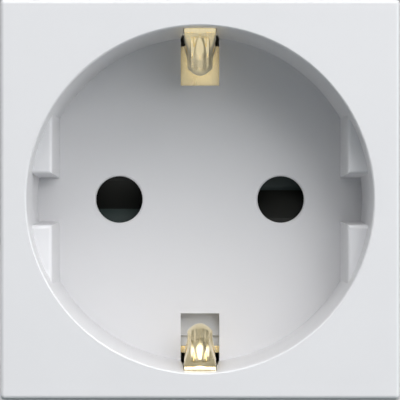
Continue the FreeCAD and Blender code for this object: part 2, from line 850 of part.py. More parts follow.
def rear_housing():
    body = box(-housing_half, housing_half, floor_back, housing_back, -housing_half, housing_half)
    long_edges = [e for e in body.Edges if e.BoundBox.YLength > housing_back - floor_back - 0.01]
    body = body.makeFillet(corner_round, long_edges)
    hollow = cavity_half
    block_front = carrier_back
    body = body.cut(
        [
            box(-hollow, hollow, floor_back - 1, block_front, -hollow, hollow),
            box(-hollow, hollow, cover_front, housing_back + 1, -hollow, hollow),
        ]
    )
    outer = box(-housing_half, housing_half, boss_end, housing_back, -housing_half, housing_half)
    outer_edges = [e for e in outer.Edges if e.BoundBox.YLength > housing_back - boss_end - 0.01]
    outer = outer.makeFillet(corner_round, outer_edges)
    columns = [corner_column(sx, sz).common(outer) for sx, sz in screw_corners + peg_corners]
    latches = [frame_latch(sx, sz) for sx in (-1, 1) for sz in (-1, 1)]
    body = body.fuse(columns + latches)
    back = housing_back + 1
    cuts = []
    for sx, sz in screw_corners:
        x = sx * column_offset
        z = sz * column_offset
        cuts.append(rod(well_radius, x, z, well_floor, back))
        cuts.append(rod(housing_screw_radius + fit_gap, x, z, boss_end - 1, back))
    for sx, sz in peg_corners:
        x = sx * column_offset
        z = sz * column_offset
        cuts.append(rod(peg_radius + fit_gap / 2, x, z, boss_end - 1, boss_end + peg_length + fit_gap))
        core = well_radius * 0.9
        cuts.append(box(x - core, x + core, floor_back + 1, back, z - core, z + core))
    plate_room = plate_front - fit_gap
    wide = terminal_width / 2 + fit_gap
    for x in (-pin_x, pin_x):
        cuts.append(box(x - tulip_room, x + tulip_room, block_front - 1, back, -tulip_room, tulip_room))
    for x in (-terminal_x, terminal_x):
        cuts.append(box(x - wide, x + wide, plate_room, back, terminal_bottom - fit_gap, 0))
    for x in terminal_spots:
        cuts.append(box(x - wide, x + wide, terminal_front - fit_gap, back,
                        terminal_bottom - fit_gap, -terminal_top + fit_gap))
        cuts.append(Part.makeCylinder(terminal_head_radius + 2 * fit_gap, housing_half + terminal_bottom + 1,
                                      Vector(x, terminal_mid, -housing_half - 1)))
    tab_half = tab_width / 2 + fit_gap
    cuts.append(box(-tab_half, tab_half, block_front - 1, back, -terminal_top - strap_thickness,
                    -terminal_top + strap_thickness + fit_gap))
    notch_top = leg_z + strap_thickness / 2 + fit_gap
    notch_back = foot_y + strap_thickness / 2 + fit_gap
    cuts.append(box(-channel_half, channel_half, floor_back - 1, notch_back, -notch_top, notch_top))
    # cores that keep the moulding's walls even
    upper = tulip_room + core_wall
    core_front = block_front + core_web
    side_in = pin_x + tulip_room + core_wall
    core_top = cavity_half
    column_edge = column_inner - core_wall
    for side in (-1, 1):
        x0 = core_wall / 2
        x1 = column_edge
        cuts.append(box(min(side * x0, side * x1), max(side * x0, side * x1), core_front, back, upper, core_top))
        x0 = side_in
        x1 = cavity_half
        cuts.append(box(min(side * x0, side * x1), max(side * x0, side * x1), core_front, back,
                        -column_edge + core_wall, column_edge - core_wall))
        window_front = cover_front - snap_reach + snap_lead
        window_back = window_front + 2 * snap_lead + snap_barb + fit_gap
        x0 = cavity_half - 1
        x1 = housing_half + 1
        cuts.append(box(min(side * x0, side * x1), max(side * x0, side * x1), window_front, window_back,
                        -snap_width / 2 - fit_gap, snap_width / 2 + fit_gap))
    return body.cut(cuts).removeSplitter()


# Rear cover

def snap_arm(side):
    # an arm that reaches into the housing and catches in its side window
    outer = carrier_half
    inner = outer - snap_thickness
    tip = cover_front - snap_reach
    outline = [
        (inner, cover_front + 0.5),
        (inner, tip),
        (outer - latch_lead, tip),
        (outer, tip + snap_lead),
        (outer + snap_barb, tip + 3 * snap_lead),
        (outer + snap_barb, tip + 3 * snap_lead + snap_barb),
        (outer, tip + 3 * snap_lead + snap_barb),
        (outer, cover_front + 0.5),
    ]
    arm = top_prism(outline, -snap_width / 2, snap_width / 2)
    return arm if side > 0 else mirror_x(arm)


def rear_cover():
    body = carrier_outline(cover_front, housing_back)
    extras = [snap_arm(-1), snap_arm(1)]
    cuts = []
    for x in terminal_spots:
        collar_end = plate_front if x == 0 else plate_back
        extras.append(box(x - collar_half, x + collar_half, collar_end + seat_gap, cover_front + 0.5,
                          wire_z - collar_half, wire_z + collar_half))
        cuts.append(rod(wire_entry_radius, x, wire_z, plate_front - 1, housing_back + 1))
        cuts.append(cone(wire_entry_radius, wire_funnel_radius, x, wire_z, housing_back - wire_funnel_depth,
                         housing_back))
    for x in (-pin_x, pin_x):
        extras.append(box(x - collar_half, x + collar_half, plate_back + seat_gap, cover_front + 0.5,
                          -collar_half, collar_half))
    return body.fuse(extras).cut(cuts).removeSplitter()


def build():
    os.makedirs("parts", exist_ok=True)
    save("front_cover", front_cover())
    save("shutter_rotor", shutter_rotor())
    save("shutter_spring", shutter_spring())
    save("contact_carrier", contact_carrier())
    save("earth_strap", earth_strap())
    save("live_contact", pin_contact(-1))
    save("neutral_contact", pin_contact(1))
    save("live_contact_band", contact_band(-pin_x, 180))
    save("neutral_contact_band", contact_band(pin_x, 0))
    for name, x in zip(("live", "earth", "neutral"), terminal_spots):
        save(name + "_terminal", terminal(x))
        save(name + "_saddle", saddle(x))
    save("terminal_screws", Part.makeCompound([terminal_screw(x) for x in terminal_spots]))
    save("carrier_screws", carrier_screws())
    save("rear_housing", rear_housing())
    save("rear_cover", rear_cover())
    save("housing_screws", housing_screws())


build()
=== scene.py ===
import math
import bmesh
import bpy
from mathutils import Matrix, Vector


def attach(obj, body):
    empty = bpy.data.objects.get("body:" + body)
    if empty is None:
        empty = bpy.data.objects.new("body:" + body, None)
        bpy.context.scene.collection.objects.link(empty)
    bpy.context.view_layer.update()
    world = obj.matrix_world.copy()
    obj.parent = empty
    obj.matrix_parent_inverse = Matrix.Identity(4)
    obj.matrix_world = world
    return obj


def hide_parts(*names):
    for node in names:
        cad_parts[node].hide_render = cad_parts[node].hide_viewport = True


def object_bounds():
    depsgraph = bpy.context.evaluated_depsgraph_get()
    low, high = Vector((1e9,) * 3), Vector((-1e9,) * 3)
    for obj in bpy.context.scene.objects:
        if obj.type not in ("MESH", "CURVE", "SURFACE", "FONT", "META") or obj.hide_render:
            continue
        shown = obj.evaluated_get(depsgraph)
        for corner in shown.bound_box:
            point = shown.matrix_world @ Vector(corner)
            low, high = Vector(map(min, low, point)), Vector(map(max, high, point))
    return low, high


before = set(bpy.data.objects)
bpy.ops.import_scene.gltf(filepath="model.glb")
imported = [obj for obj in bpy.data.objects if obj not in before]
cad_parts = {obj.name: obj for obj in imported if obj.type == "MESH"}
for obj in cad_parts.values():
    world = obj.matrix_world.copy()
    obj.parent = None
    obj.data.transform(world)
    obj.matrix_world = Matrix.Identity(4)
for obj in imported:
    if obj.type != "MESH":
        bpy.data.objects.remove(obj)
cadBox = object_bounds()
mm = 0.001

# Room and camera

room = {
    "floorGap": 0.05 * mm,
    "floorHalf": 2.0,
    "paperRoughness": 0.9,
    "backdropAway": 1.6,
    "backdropHeight": 2.0,
    "seenColor": (0.62, 0.62, 0.63, 1),
    "bounceColor": (0.13, 0.16, 0.17, 1),
    "skyTop": (1.0, 1.0, 1.0, 1),
    "skyBottom": (0.4, 0.4, 0.4, 1),
    "skySeen": 0.6,
    "skyBounce": 0.02,
}
eye = {"distance": 390 * mm, "drop": 0.06 * mm, "lens": 312, "clipStart": 0.01}
lamps = {
    # soft boxes: degrees right of the front, degrees up, watts, and width and height in metres
    "frontRight": {"aside": 20, "up": 15, "watts": 3.0, "size": (0.45, 0.45)},
    "lowRight": {"aside": 50, "up": 15, "watts": 2.4, "size": (0.8, 0.6)},
    "farRight": {"aside": 70, "up": 10, "watts": 5.6, "size": (0.6, 0.6)},
    "middleLow": {"aside": -10, "up": 30, "watts": 2.7, "size": (1.2, 0.45)},
    "middle": {"aside": -10, "up": 42, "watts": 1.95, "size": (1.2, 0.45)},
    "middleHigh": {"aside": -10, "up": 54, "watts": 2.75, "size": (1.2, 0.45)},
    "highRight": {"aside": 20, "up": 49, "watts": 2.7, "size": (0.8, 0.8)},
    "behindLeft": {"aside": -125, "up": 18, "watts": 3.2, "size": (1.6, 0.6)},
    "behindRight": {"aside": 160, "up": 18, "watts": 3.2, "size": (1.6, 0.6)},
    "ceiling": {"aside": -34, "up": 74, "watts": 13.0, "size": (1.9, 1.4)},
}
lampAway = 1.2


def link(item):
    bpy.context.scene.collection.objects.link(item)
    return item


def meshFrom(name, points, faces):
    mesh = bpy.data.meshes.new(name)
    mesh.from_pydata([Vector(p) for p in points], [], faces)
    mesh.update()
    return mesh


def areaLight(name, values):
    # a soft box that faces the object
    lamp = bpy.data.lights.new(name, "AREA")
    lamp.shape = "RECTANGLE"
    lamp.size, lamp.size_y = values["size"]
    lamp.energy = values["watts"]
    aside = math.radians(values["aside"])
    up = math.radians(values["up"])
    place = Vector((math.sin(aside) * math.cos(up), -math.cos(aside) * math.cos(up), math.sin(up))) * lampAway
    item = link(bpy.data.objects.new(name, lamp))
    item.location = place
    item.rotation_euler = (-place).to_track_quat("-Z", "Y").to_euler()


def mathNode(tree, operation, first, second=None, third=None):
    node = tree.nodes.new("ShaderNodeMath")
    node.operation = operation
    for socket, value in zip(node.inputs, (first, second, third)):
        if value is None:
            continue
        if isinstance(value, (int, float)):
            socket.default_value = value
        else:
            tree.links.new(value, socket)
    return node.outputs[0]


def tintNode(tree, factor, first, second):
    node = tree.nodes.new("ShaderNodeMix")
    node.data_type = "RGBA"
    for label, value in (("Factor", factor), ("A", first), ("B", second)):
        if isinstance(value, (int, float, tuple)):
            node.inputs[label].default_value = value
        else:
            tree.links.new(value, node.inputs[label])
    return node.outputs["Result"]


def seenShare(tree):
    # 1 where the room is seen, in metal and through glass too, and 0 where it only throws light on the object
    path = tree.nodes.new("ShaderNodeLightPath")
    seen = mathNode(tree, "ADD", path.outputs["Is Camera Ray"], path.outputs["Is Glossy Ray"])
    return mathNode(tree, "ADD", seen, path.outputs["Is Transmission Ray"])


def makePaper():
    floorZ = cadBox[0][2] - room["floorGap"]
    reach = room["floorHalf"]
    away = room["backdropAway"]
    floor = link(bpy.data.objects.new("floor", meshFrom("floor", [
        (-reach, -reach, floorZ), (reach, -reach, floorZ), (reach, reach, floorZ), (-reach, reach, floorZ),
    ], [(0, 1, 2, 3)])))
    top = floorZ + room["backdropHeight"]
    backdrop = link(bpy.data.objects.new("backdrop", meshFrom("backdrop", [
        (-reach, away, floorZ), (reach, away, floorZ), (reach, away, top), (-reach, away, top),
    ], [(0, 1, 2, 3)])))
    pale = bpy.data.materials.new("palePaper")
    pale.use_nodes = True
    tree = pale.node_tree
    shader = tree.nodes["Principled BSDF"]
    shader.inputs["Roughness"].default_value = room["paperRoughness"]
    paper = tintNode(tree, seenShare(tree), room["bounceColor"], room["seenColor"])
    tree.links.new(paper, shader.inputs["Base Color"])
    for item in (floor, backdrop):
        item.data.materials.append(pale)


def makeSky():
    world = bpy.data.worlds.new("studio")
    world.use_nodes = True
    bpy.context.scene.world = world
    tree = world.node_tree
    background = tree.nodes["Background"]
    split = tree.nodes.new("ShaderNodeSeparateXYZ")
    tree.links.new(tree.nodes.new("ShaderNodeTexCoord").outputs["Generated"], split.inputs[0])
    upShare = mathNode(tree, "MULTIPLY_ADD", split.outputs["Z"], 0.5, 0.5)
    tree.links.new(tintNode(tree, upShare, room["skyBottom"], room["skyTop"]), background.inputs["Color"])
    strength = mathNode(tree, "MULTIPLY_ADD", seenShare(tree), room["skySeen"] - room["skyBounce"], room["skyBounce"])
    tree.links.new(strength, background.inputs["Strength"])


def makeCamera():
    camera = bpy.data.cameras.new("camera")
    camera.lens = eye["lens"]
    camera.clip_start = eye["clipStart"]
    item = link(bpy.data.objects.new("camera", camera))
    item.location = (0, -eye["distance"], -eye["drop"])
    item.rotation_euler = (math.radians(90), 0, 0)
    bpy.context.scene.camera = item
    bpy.context.scene.view_settings.view_transform = "Standard"


makePaper()
makeSky()
for name, values in lamps.items():
    areaLight(name, values)
makeCamera()
print("room, lights and camera are ready")

# Shared surface effects, as node groups


def newGroup(name, inputs, outputs):
    group = bpy.data.node_groups.new(name, "ShaderNodeTree")
    for label, kind, value in inputs:
        socket = group.interface.new_socket(label, in_out="INPUT", socket_type=kind)
        socket.default_value = value
    for label, kind in outputs:
        group.interface.new_socket(label, in_out="OUTPUT", socket_type=kind)
    start = group.nodes.new("NodeGroupInput")
    end = group.nodes.new("NodeGroupOutput")
    return group, start, end


def noiseNode(tree, coordinate, scale, detail, roughness):
    node = tree.nodes.new("ShaderNodeTexNoise")
    tree.links.new(coordinate, node.inputs["Vector"])
    for label, value in (("Scale", scale), ("Detail", detail), ("Roughness", roughness)):
        if isinstance(value, (int, float)):
            node.inputs[label].default_value = value
        else:
            tree.links.new(value, node.inputs[label])
    return node.outputs["Fac"]


def rampNode(tree, value, low, high):
    node = tree.nodes.new("ShaderNodeMapRange")
    node.interpolation_type = "SMOOTHSTEP"
    tree.links.new(value, node.inputs["Value"])
    node.inputs["From Min"].default_value = low
    node.inputs["From Max"].default_value = high
    return node.outputs["Result"]


moulded = {
    "grain": {"detail": 3.0, "roughness": 0.6}, "grainGloss": 0.08,
    "flow": {"scale": 90.0, "detail": 2.0, "roughness": 0.5}, "flowFrom": 0.35, "flowTo": 0.75, "flowGloss": 0.10,
}
stamped = {
    "lines": {"scale": 900.0, "detail": 2.0, "roughness": 0.6}, "lineStretch": (9, 1, 1), "lineGloss": 0.12,
    "stain": {"scale": 420.0, "detail": 4.0, "roughness": 0.6}, "stainFrom": 0.42, "stainTo": 0.72,
    "stainGloss": 0.22,
    "specks": {"scale": 2600.0, "detail": 1.0, "roughness": 0.5}, "speckDepth": 0.1,
}


def spreadAround(tree, value, gloss):
    # the value's swing about its middle, as a swing in roughness
    return mathNode(tree, "MULTIPLY_ADD", value, gloss, -gloss / 2)


def makeMouldedSurface():
    # fine eroded mould texture, with slow flow marks in tone and gloss
    group, start, end = newGroup(
        "mouldedSurface",
        [("Color", "NodeSocketColor", (0.8, 0.8, 0.8, 1)), ("Deep Color", "NodeSocketColor", (0.7, 0.7, 0.7, 1)),
         ("Roughness", "NodeSocketFloat", 0.35), ("Grain Scale", "NodeSocketFloat", 3500.0),
         ("Grain Depth", "NodeSocketFloat", 0.5)],
        [("Color", "NodeSocketColor"), ("Roughness", "NodeSocketFloat"), ("Height", "NodeSocketFloat")],
    )
    coordinate = group.nodes.new("ShaderNodeTexCoord").outputs["Object"]
    grain = noiseNode(group, coordinate, start.outputs["Grain Scale"], **moulded["grain"])
    flow = noiseNode(group, coordinate, **moulded["flow"])
    flowShare = rampNode(group, flow, moulded["flowFrom"], moulded["flowTo"])
    color = tintNode(group, flowShare, start.outputs["Color"], start.outputs["Deep Color"])
    rough = mathNode(group, "ADD", start.outputs["Roughness"], spreadAround(group, flow, moulded["flowGloss"]))
    rough = mathNode(group, "ADD", rough, spreadAround(group, grain, moulded["grainGloss"]))
    height = mathNode(group, "MULTIPLY", grain, start.outputs["Grain Depth"])
    group.links.new(color, end.inputs["Color"])
    group.links.new(rough, end.inputs["Roughness"])
    group.links.new(height, end.inputs["Height"])
    return group


def makeStampedSurface():
    # rolled sheet: fine drawing lines along one direction, stains and specks
    group, start, end = newGroup(
        "stampedSurface",
        [("Color", "NodeSocketColor", (0.8, 0.6, 0.3, 1)), ("Stain Color", "NodeSocketColor", (0.5, 0.35, 0.15, 1)),
         ("Roughness", "NodeSocketFloat", 0.25), ("Stain Share", "NodeSocketFloat", 0.5),
         ("Line Depth", "NodeSocketFloat", 0.4)],
        [("Color", "NodeSocketColor"), ("Roughness", "NodeSocketFloat"), ("Height", "NodeSocketFloat")],
    )
    coordinate = group.nodes.new("ShaderNodeTexCoord").outputs["Object"]
    stretch = group.nodes.new("ShaderNodeMapping")
    stretch.inputs["Scale"].default_value = stamped["lineStretch"]
    group.links.new(coordinate, stretch.inputs["Vector"])
    lines = noiseNode(group, stretch.outputs["Vector"], **stamped["lines"])
    stain = noiseNode(group, coordinate, **stamped["stain"])
    specks = noiseNode(group, coordinate, **stamped["specks"])
    share = rampNode(group, stain, stamped["stainFrom"], stamped["stainTo"])
    share = mathNode(group, "MULTIPLY", share, start.outputs["Stain Share"])
    color = tintNode(group, share, start.outputs["Color"], start.outputs["Stain Color"])
    rough = mathNode(group, "ADD", start.outputs["Roughness"], spreadAround(group, stain, stamped["stainGloss"]))
    rough = mathNode(group, "ADD", rough, spreadAround(group, lines, stamped["lineGloss"]))
    height = mathNode(group, "MULTIPLY", lines, start.outputs["Line Depth"])
    height = mathNode(group, "MULTIPLY_ADD", specks, stamped["speckDepth"], height)
    group.links.new(color, end.inputs["Color"])
    group.links.new(rough, end.inputs["Roughness"])
    group.links.new(height, end.inputs["Height"])
    return group


mouldedSurface = makeMouldedSurface()
stampedSurface = makeStampedSurface()


def newMaterial(name, group, values, bump, shaderValues):
    # one Principled shader fed by the group's colour, roughness and bump; plain numbers sit on its own sockets
    material = bpy.data.materials.new(name)
    material.use_nodes = True
    tree = material.node_tree
    shader = tree.nodes["Principled BSDF"]
    effect = tree.nodes.new("ShaderNodeGroup")
    effect.node_tree = group
    for label, value in values.items():
        effect.inputs[label].default_value = value
    relief = tree.nodes.new("ShaderNodeBump")
    relief.inputs["Strength"].default_value = bump["strength"]
    relief.inputs["Distance"].default_value = bump["distance"]
    tree.links.new(effect.outputs["Color"], shader.inputs["Base Color"])
    tree.links.new(effect.outputs["Roughness"], shader.inputs["Roughness"])
    tree.links.new(effect.outputs["Height"], relief.inputs["Height"])
    tree.links.new(relief.outputs["Normal"], shader.inputs["Normal"])
    for label, value in shaderValues.items():
        shader.inputs[label].default_value = value
    return material


def gray(level, tint=(1, 1, 1)):
    return (level * tint[0], level * tint[1], level * tint[2], 1)


coolWhite = (0.985, 0.985, 1.01)
coverWhite = newMaterial(
    "coverWhite", mouldedSurface,
    {"Color": gray(0.70, coolWhite), "Deep Color": gray(0.69, coolWhite), "Roughness": 0.33,
     "Grain Scale": 4200.0, "Grain Depth": 0.35},
    {"strength": 0.12, "distance": 0.02 * mm},
    {"IOR": 1.5, "Metallic": 0.0, "Specular IOR Level": 0.2},
)
housingWhite = newMaterial(
    "housingWhite", mouldedSurface,
    {"Color": gray(0.70, (1.0, 0.99, 0.97)), "Deep Color": gray(0.66, (1.0, 0.985, 0.955)), "Roughness": 0.52,
     "Grain Scale": 2600.0, "Grain Depth": 0.8},
    {"strength": 0.35, "distance": 0.03 * mm},
    {"IOR": 1.5, "Metallic": 0.0, "Specular IOR Level": 0.12},
)
carrierGrey = newMaterial(
    "carrierGrey", mouldedSurface,
    {"Color": gray(0.62, (0.98, 1.0, 1.03)), "Deep Color": gray(0.58, (0.98, 1.0, 1.03)), "Roughness": 0.5,
     "Grain Scale": 2600.0, "Grain Depth": 0.8},
    {"strength": 0.35, "distance": 0.03 * mm},
    {"IOR": 1.5, "Metallic": 0.0},
)
shutterBlack = newMaterial(
    "shutterBlack", mouldedSurface,
    {"Color": gray(0.006, (1.05, 1.15, 0.85)), "Deep Color": gray(0.004, (1.0, 1.1, 0.9)), "Roughness": 0.45,
     "Grain Scale": 3000.0, "Grain Depth": 0.7},
    {"strength": 0.3, "distance": 0.03 * mm},
    {"IOR": 1.36, "Metallic": 0.0},
)
# painted light: a paler tone on the shutter's flat ledges, standing in for the light that falls on them
paintedLedgeLight = {"from": 1.08 * mm, "to": 1.13 * mm, "color": (0.036, 0.052, 0.050, 1)}


def paintLedgeLight(material):
    # painted light: the two flat ledges, below the left wing's ramp and above the right one's, get a paler blue-grey
    # colour that stands in for the light they catch
    tree = material.node_tree
    shader = tree.nodes["Principled BSDF"]
    split = tree.nodes.new("ShaderNodeSeparateXYZ")
    tree.links.new(tree.nodes.new("ShaderNodeTexCoord").outputs["Object"], split.inputs[0])
    away = rampNode(tree, mathNode(tree, "ABSOLUTE", split.outputs["Z"]), paintedLedgeLight["from"], paintedLedgeLight["to"])
    side = mathNode(tree, "MULTIPLY", split.outputs["X"], split.outputs["Z"])
    ledgeLightMask = mathNode(tree, "MULTIPLY", away, mathNode(tree, "GREATER_THAN", side, 0.0))
    plain = shader.inputs["Base Color"].links[0].from_socket
    tree.links.new(tintNode(tree, ledgeLightMask, plain, paintedLedgeLight["color"]), shader.inputs["Base Color"])


paintLedgeLight(shutterBlack)
brass = newMaterial(
    "brass", stampedSurface,
    {"Color": (0.93, 0.80, 0.50, 1), "Stain Color": (0.80, 0.65, 0.37, 1), "Roughness": 0.24,
     "Stain Share": 0.3, "Line Depth": 0.5},
    {"strength": 0.18, "distance": 0.02 * mm},
    {"Metallic": 1.0},
)
springSteel = newMaterial(
    "springSteel", stampedSurface,
    {"Color": (0.52, 0.52, 0.53, 1), "Stain Color": (0.36, 0.35, 0.35, 1), "Roughness": 0.3,
     "Stain Share": 0.4, "Line Depth": 0.5},
    {"strength": 0.2, "distance": 0.02 * mm},
    {"Metallic": 1.0},
)
platedSteel = newMaterial(
    "platedSteel", stampedSurface,
    {"Color": (0.66, 0.66, 0.64, 1), "Stain Color": (0.58, 0.55, 0.44, 1), "Roughness": 0.33,
     "Stain Share": 0.7, "Line Depth": 0.3},
    {"strength": 0.2, "distance": 0.02 * mm},
    {"Metallic": 1.0},
)
print("materials are ready")

# Pieces


def finishPiece(name, mesh, material, slotName, nodes, body="root"):
    piece = link(bpy.data.objects.new(name, mesh))
    mesh.materials.clear()
    mesh.materials.append(material)
    for face in mesh.polygons:
        face.material_index = 0
    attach(piece, body)
    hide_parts(*nodes)
    return piece


def cornerFans(vertex):
    # groups of faces around a vertex that meet over smooth edges
    left = set(vertex.link_faces)
    while left:
        fan = [left.pop()]
        for face in fan:
            for edge in face.edges:
                if not edge.smooth or vertex not in edge.verts:
                    continue
                for other in edge.link_faces:
                    if other in left:
                        left.remove(other)
                        fan.append(other)
        yield fan


def levelNormals(mesh):
    # each corner leans to the widest face of its fan, so flat faces stay flat between their rounded edges
    shape = bmesh.new()
    shape.from_mesh(mesh)
    normals = [Vector((0, 0, 1)) for _ in mesh.loops]
    for vertex in shape.verts:
        for fan in cornerFans(vertex):
            normal = sum((face.normal * face.calc_area() for face in fan), Vector()).normalized()
            for face in fan:
                for corner in face.loops:
                    if corner.vert == vertex:
                        normals[corner.index] = normal
    shape.free()
    mesh.normals_split_custom_set(normals)


rounding = {"segments": 2, "fromAngle": 50}
joining = {"distance": 0.002 * mm, "flatAngle": 0.6}
sharpAngles = {"cad": 32, "strap": 48, "screws": 35, "spring": 50}


def smoothed(mesh, sharpAngle, bevel=0.0):
    # rounds the sharp edges a little and shades the rest smoothly
    if bevel:
        holder = link(bpy.data.objects.new("holder", mesh))
        edge = holder.modifiers.new("edge", "BEVEL")
        edge.width = bevel
        edge.segments = rounding["segments"]
        edge.limit_method = "ANGLE"
        edge.angle_limit = math.radians(rounding["fromAngle"])
        edge.use_clamp_overlap = False
        mesh = bpy.data.meshes.new_from_object(holder.evaluated_get(bpy.context.evaluated_depsgraph_get()))
        holder.modifiers.remove(edge)
        bpy.data.objects.remove(holder)
    shape = bmesh.new()
    shape.from_mesh(mesh)
    for face in shape.faces:
        face.smooth = True
    for edge in shape.edges:
        edge.smooth = edge.is_manifold and edge.calc_face_angle() < math.radians(sharpAngle)
    shape.to_mesh(mesh)
    shape.free()
    return mesh


def mergedCopy(node):
    # the node's triangles joined up, with each flat face made one polygon
    shape = bmesh.new()
    shape.from_mesh(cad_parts[node].data)
    bmesh.ops.remove_doubles(shape, verts=shape.verts, dist=joining["distance"])
    bmesh.ops.dissolve_limit(
        shape, angle_limit=math.radians(joining["flatAngle"]), verts=shape.verts, edges=shape.edges)
    mesh = bpy.data.meshes.new(node)
    shape.to_mesh(mesh)
    shape.free()
    return mesh


recess = {"innerRadius": 18.2 * mm, "outerRadius": 20.6 * mm, "depth": 17.6 * mm, "sideways": 0.03}


def turnedNormals(mesh):
    # the recess wall and its rounded mouth are turned surfaces, so no normal on them leans sideways
    normals = [corner.vector.copy() for corner in mesh.corner_normals]
    for face in mesh.polygons:
        middle = Vector((face.center.x, 0, face.center.z))
        if not recess["innerRadius"] < middle.length < recess["outerRadius"] or face.center.y > recess["depth"]:
            continue
        outward = middle.normalized()
        sideways = outward.cross(Vector((0, 1, 0)))
        if abs(face.normal.dot(sideways)) > recess["sideways"] or face.normal.dot(outward) > -recess["sideways"]:
            continue
        for corner in face.loop_indices:
            place = mesh.vertices[mesh.loops[corner].vertex_index].co
            around = Vector((place.x, 0, place.z)).normalized().cross(Vector((0, 1, 0)))
            normals[corner] = (normals[corner] - around * normals[corner].dot(around)).normalized()
    mesh.normals_split_custom_set(normals)


mouldings = {
    "front_cover": {"name": "frontCover", "material": coverWhite, "slot": "cover_white", "bevel": 0.0},
    "rear_housing": {"name": "rearHousing", "material": housingWhite, "slot": "housing_white", "bevel": 0.12},
    "rear_cover": {"name": "rearCover", "material": housingWhite, "slot": "housing_white", "bevel": 0.12},
    "contact_carrier": {"name": "contactCarrier", "material": carrierGrey, "slot": "carrier_grey", "bevel": 0.08},
    "shutter_rotor": {"name": "shutterRotor", "material": shutterBlack, "slot": "shutter_black", "bevel": 0.08},
}
stampings = {
    "live_contact": {"name": "liveContact", "material": brass, "slot": "brass", "bevel": 0.06},
    "neutral_contact": {"name": "neutralContact", "material": brass, "slot": "brass", "bevel": 0.06},
    "live_contact_band": {"name": "liveContactBand", "material": springSteel, "slot": "spring_steel", "bevel": 0.04},
    "neutral_contact_band": {"name": "neutralContactBand", "material": springSteel, "slot": "spring_steel",
                             "bevel": 0.04},
    "live_terminal": {"name": "liveTerminal", "material": brass, "slot": "brass", "bevel": 0.06},
    "earth_terminal": {"name": "earthTerminal", "material": brass, "slot": "brass", "bevel": 0.06},
    "neutral_terminal": {"name": "neutralTerminal", "material": brass, "slot": "brass", "bevel": 0.06},
    "live_saddle": {"name": "liveSaddle", "material": platedSteel, "slot": "plated_steel", "bevel": 0.05},
    "earth_saddle": {"name": "earthSaddle", "material": platedSteel, "slot": "plated_steel", "bevel": 0.05},
    "neutral_saddle": {"name": "neutralSaddle", "material": platedSteel, "slot": "plated_steel", "bevel": 0.05},
}


def makeFromCad(node, values):
    mesh = smoothed(mergedCopy(node), sharpAngles["cad"], bevel=values["bevel"] * mm)
    levelNormals(mesh)
    if node == "front_cover":
        turnedNormals(mesh)
    body = "shutter" if node == "shutter_rotor" else "root"
    return finishPiece(values["name"], mesh, values["material"], values["slot"], [node], body)


for node, values in mouldings.items():
    makeFromCad(node, values)
print("mouldings are ready")
for node, values in stampings.items():
    makeFromCad(node, values)
print("metal pieces are ready")

# Earth strap: one strip of sheet, folded back into the recess at both ends

strap = {
    # path in the YZ plane through the middle of the sheet, millimetres
    "thickness": 0.5, "tail": (15.8, 17.7), "nose": (9.9, 15.55), "foldFront": 3.45, "foldGap": 0.7, "legZ": 19.9,
    "footY": 20.45, "jogZ": 12.2, "runY": 25.55,
    "noseRadius": 2.6, "foldRadius": 0.343, "footRadius": 1.8, "jogRadius": 0.8,
    # half widths, and the heights between which the tongue narrows and below which the foot is wide
    "legHalf": 1.82, "noseHalf": 1.44, "footHalf": 3.2, "wideFrom": 17.85, "narrowFrom": 16.3, "shoulderZ": 18.25,
    # pressed middle, by depth in the recess: two bars beside a bead, between flanks that bend back
    # (each soft pair says how far an edge reaches before and after its place)
    "pressFrom": 4.35, "pressFull": 7.2, "pressRise": 0.86, "pressSoft": (0.08, 0.22),
    "fadeFrom": 11.2, "fadeTo": 15.2,
    "barInner": 0.76, "barOuter": 1.08, "barSoft": (0.06, 0.1), "valleyDepth": 0.16, "valleySoft": (0.12, 0.02),
    "beadTip": 0.28, "beadHalf": 0.75, "beadRise": 0.36, "beadFrom": 4.15, "beadFull": 6.2, "beadRound": 0.6,
    "creaseFrom": 3.7, "creaseTo": 7.6, "flankSlope": 1.7,
    # dimple of the punch beside the fold, and the share of the bend over which it fades
    "dimpleHalf": 0.75, "dimpleDepth": 0.09, "dimpleTo": 4.4, "dimpleTurn": (0.5, 1.0),
    # over the nose the bars, bead and flanks run into one crown
    "crownFrom": 7.9, "crownFull": 9.7, "crownRise": 1.27, "crownDrop": 0.86,
    # tab that reaches back to the earth terminal
    "tabHalf": 2.5, "tabTop": -8.6, "tabZ": -10.35, "tabEnd": 35.7, "tabRadius": 0.5,
    # rounding of the sheet's edges, fineness of the mesh, and where the tongue and the leg's foot begin
    "edge": 0.06, "step": 0.12, "plainStep": 1.2, "across": 48, "plainAcross": 6, "fewestTurns": 12,
    "foldedFrom": 0.99, "shoulder": 1, "shoulderGap": 0.01,
}


def smoothShare(value, low, high):
    share = min(max((value - low) / (high - low), 0), 1)
    return share * share * (3 - 2 * share)


def softEdge(value, place, reach):
    return smoothShare(value, place - reach[0], place + reach[1])


def spreadBetween(first, last, step):
    count = max(1, math.ceil((last - first).length / step))
    return [first.lerp(last, k / count) for k in range(count)]


def bentPath(corners, radii, fineRuns):
    # (place, direction) stations along straight runs joined by arcs, in the YZ plane, close together on the fine runs
    corners = [Vector(corner) for corner in corners]
    places = []
    start = corners[0]
    for i, radius in enumerate(radii, start=1):
        step = strap["step"] if i <= fineRuns else strap["plainStep"]
        before = (corners[i] - corners[i - 1]).normalized()
        after = (corners[i + 1] - corners[i]).normalized()
        angle = before.angle_signed(after)
        tangent = radius * math.tan(abs(angle) / 2)
        centre = corners[i] + (after - before).normalized() * radius / math.cos(angle / 2)
        arcStart = corners[i] - before * tangent
        places += spreadBetween(start, arcStart, step)
        turns = max(strap["fewestTurns"], math.ceil(radius * abs(angle) / step))
        spoke = arcStart - centre
        for k in range(turns):
            places.append(centre + Matrix.Rotation(-angle * k / turns, 2) @ spoke)
        start = corners[i] + after * tangent
    places += spreadBetween(start, corners[-1], strap["plainStep"]) + [corners[-1]]
    last = len(places) - 1
    return [(place, (places[min(i + 1, last)] - places[max(i - 1, 0)]).normalized())
            for i, place in enumerate(places)]


